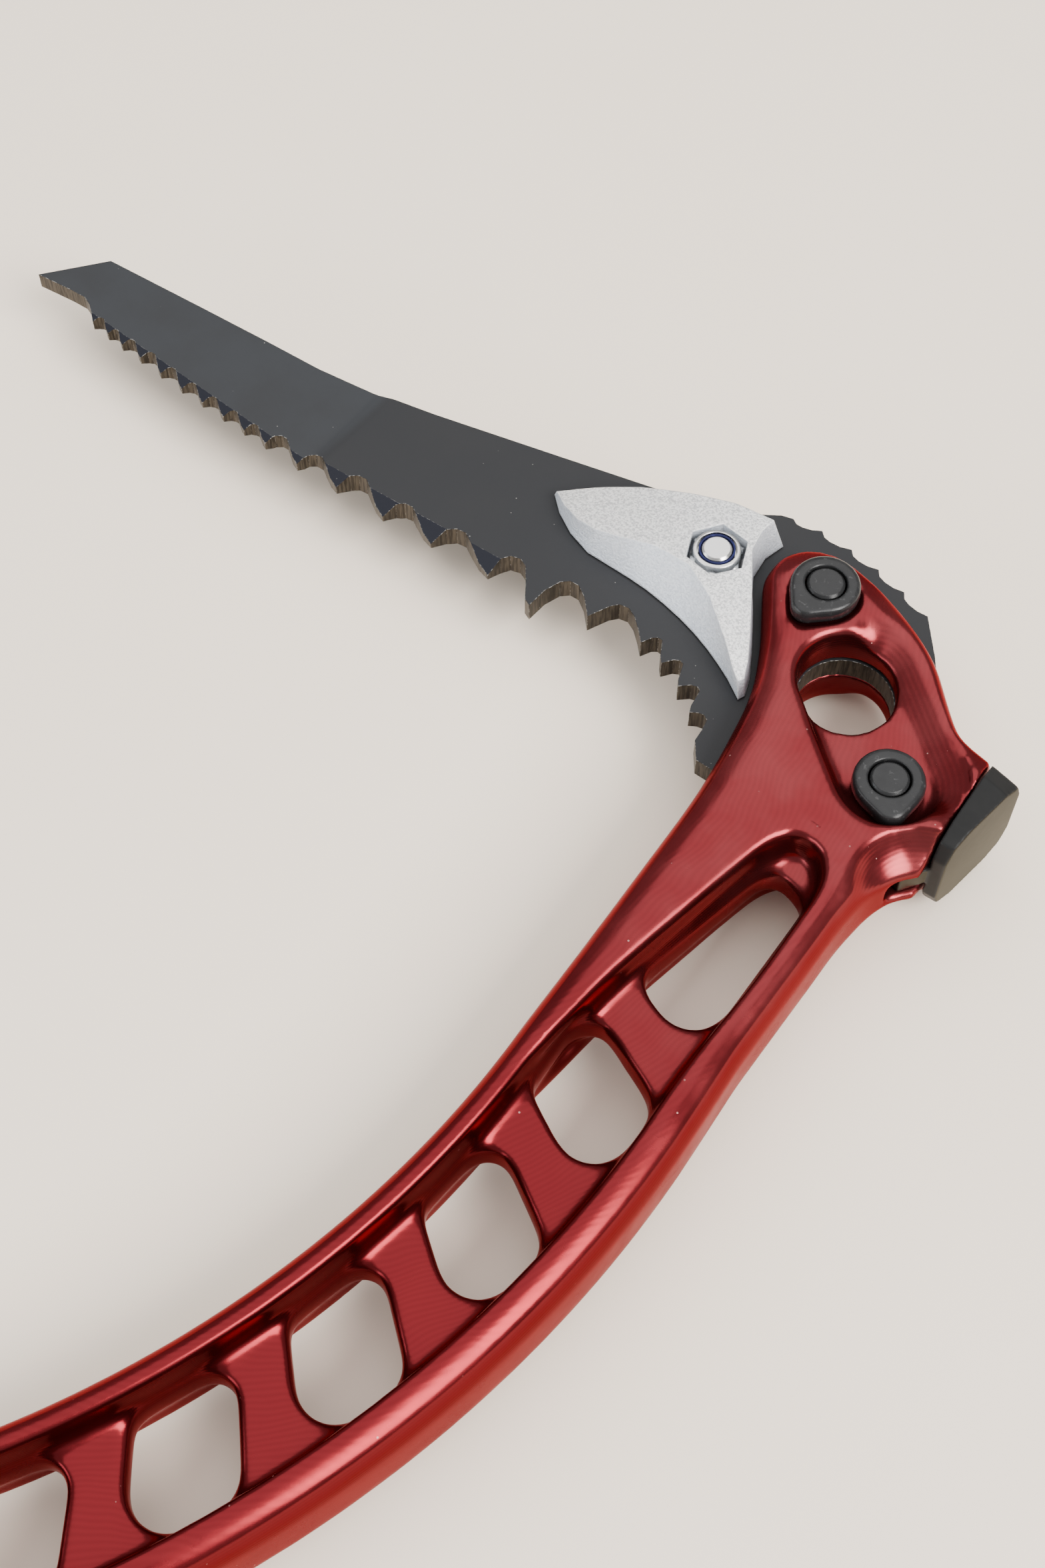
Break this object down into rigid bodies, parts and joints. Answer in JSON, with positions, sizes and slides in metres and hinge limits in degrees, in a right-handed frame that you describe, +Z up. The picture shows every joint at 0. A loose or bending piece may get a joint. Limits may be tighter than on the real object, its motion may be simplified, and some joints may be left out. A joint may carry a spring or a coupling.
{
  "type": "ice axe",
  "caption": "Curved technical ice axe lying on its side: toothed steel pick and hammer in a forked I-beam frame with windows, cast pick weights, rubber grips, sliding finger rest and spike.",
  "frame": {"origin": "on the ground under the middle of the tool's box, as it lies on its side", "axes": "+Z up, across the tool's thickness; +Y from the spike towards the head; +X from the pick's tip towards the hammer"},
  "size_m": [0.2106, 0.4806, 0.0246],
  "materials": {
    "red_anodised": "satin deep-red anodising over fine milling lines",
    "black_steel": "thin matte black coating on steel",
    "cast_silver": "bright cast or plated surface, slightly grainy",
    "bare_steel": "bare satin steel",
    "black_nylon": "moulded black plastic, finely grained",
    "grip_rubber": "matte moulded rubber",
    "nylon_insert": "dyed nylon"
  },
  "bodies": {
    "axe": {"frame": "red_anodised", "pick": "black_steel", "hammer": "black_steel", "pick_weight_upper": "cast_silver", "pick_weight_lower": "cast_silver", "upper_grip": "grip_rubber", "lower_grip": "grip_rubber", "hand_rest": "black_nylon", "spike": "bare_steel", "spike_rivet_upper": "bare_steel", "spike_rivet_lower": "bare_steel"},
    "upper_pick_bolt": {"upper_pick_bolt": "black_steel"},
    "upper_pick_nut": {"upper_pick_nut": "black_steel"},
    "lower_pick_bolt": {"lower_pick_bolt": "black_steel"},
    "lower_pick_nut": {"lower_pick_nut": "black_steel"},
    "weight_bolt": {"weight_bolt": "black_steel"},
    "weight_nut": {"weight_nut": "cast_silver", "weight_nut_insert": "nylon_insert"},
    "finger_rest": {"finger_rest": "black_nylon"},
    "finger_rest_bolt": {"finger_rest_bolt": "black_steel"},
    "finger_rest_nut": {"finger_rest_nut": "black_steel"}
  },
  "joints": [
    {"name": "upper_pick_bolt_turn", "type": "hinge", "parent": "axe", "child": "upper_pick_bolt", "pos_m": [0.0313, 0.22545, 0.0123], "axis": [0, 0, -1], "range_deg": [0, 1090]},
    {"name": "upper_pick_nut_climb", "type": "slide", "parent": "axe", "child": "upper_pick_nut", "axis": [0, 0, 1], "range_m": [0, 0.003]},
    {"name": "lower_pick_bolt_turn", "type": "hinge", "parent": "axe", "child": "lower_pick_bolt", "pos_m": [0.0632, 0.21305, 0.0123], "axis": [0, 0, -1], "range_deg": [0, 1090]},
    {"name": "lower_pick_nut_climb", "type": "slide", "parent": "axe", "child": "lower_pick_nut", "axis": [0, 0, 1], "range_m": [0, 0.003]},
    {"name": "weight_bolt_turn", "type": "hinge", "parent": "axe", "child": "weight_bolt", "pos_m": [0.0147, 0.21695, 0.0123], "axis": [0, 0, -1], "range_deg": [0, 1810]},
    {"name": "weight_nut_climb", "type": "slide", "parent": "axe", "child": "weight_nut", "axis": [0, 0, 1], "range_m": [0, 0.004]},
    {"name": "finger_rest_slide", "type": "slide", "parent": "axe", "child": "finger_rest", "axis": [0.3746, 0.9272, 0], "range_m": [0, 0.022]},
    {"name": "finger_rest_bolt_turn", "type": "hinge", "parent": "finger_rest", "child": "finger_rest_bolt", "pos_m": [0.05495, -0.08803, 0.0123], "axis": [0, 0, -1], "range_deg": [0, 1810]},
    {"name": "finger_rest_nut_climb", "type": "slide", "parent": "finger_rest", "child": "finger_rest_nut", "axis": [0, 0, 1], "range_m": [0, 0.004]}
  ],
  "couplings": [
    {"joint": "upper_pick_bolt_turn", "follows": "upper_pick_nut_climb", "rad_per_m": 6283.2},
    {"joint": "lower_pick_bolt_turn", "follows": "lower_pick_nut_climb", "rad_per_m": 6283.2},
    {"joint": "weight_bolt_turn", "follows": "weight_nut_climb", "rad_per_m": 7854},
    {"joint": "finger_rest_bolt_turn", "follows": "finger_rest_nut_climb", "rad_per_m": 7854}
  ]
}
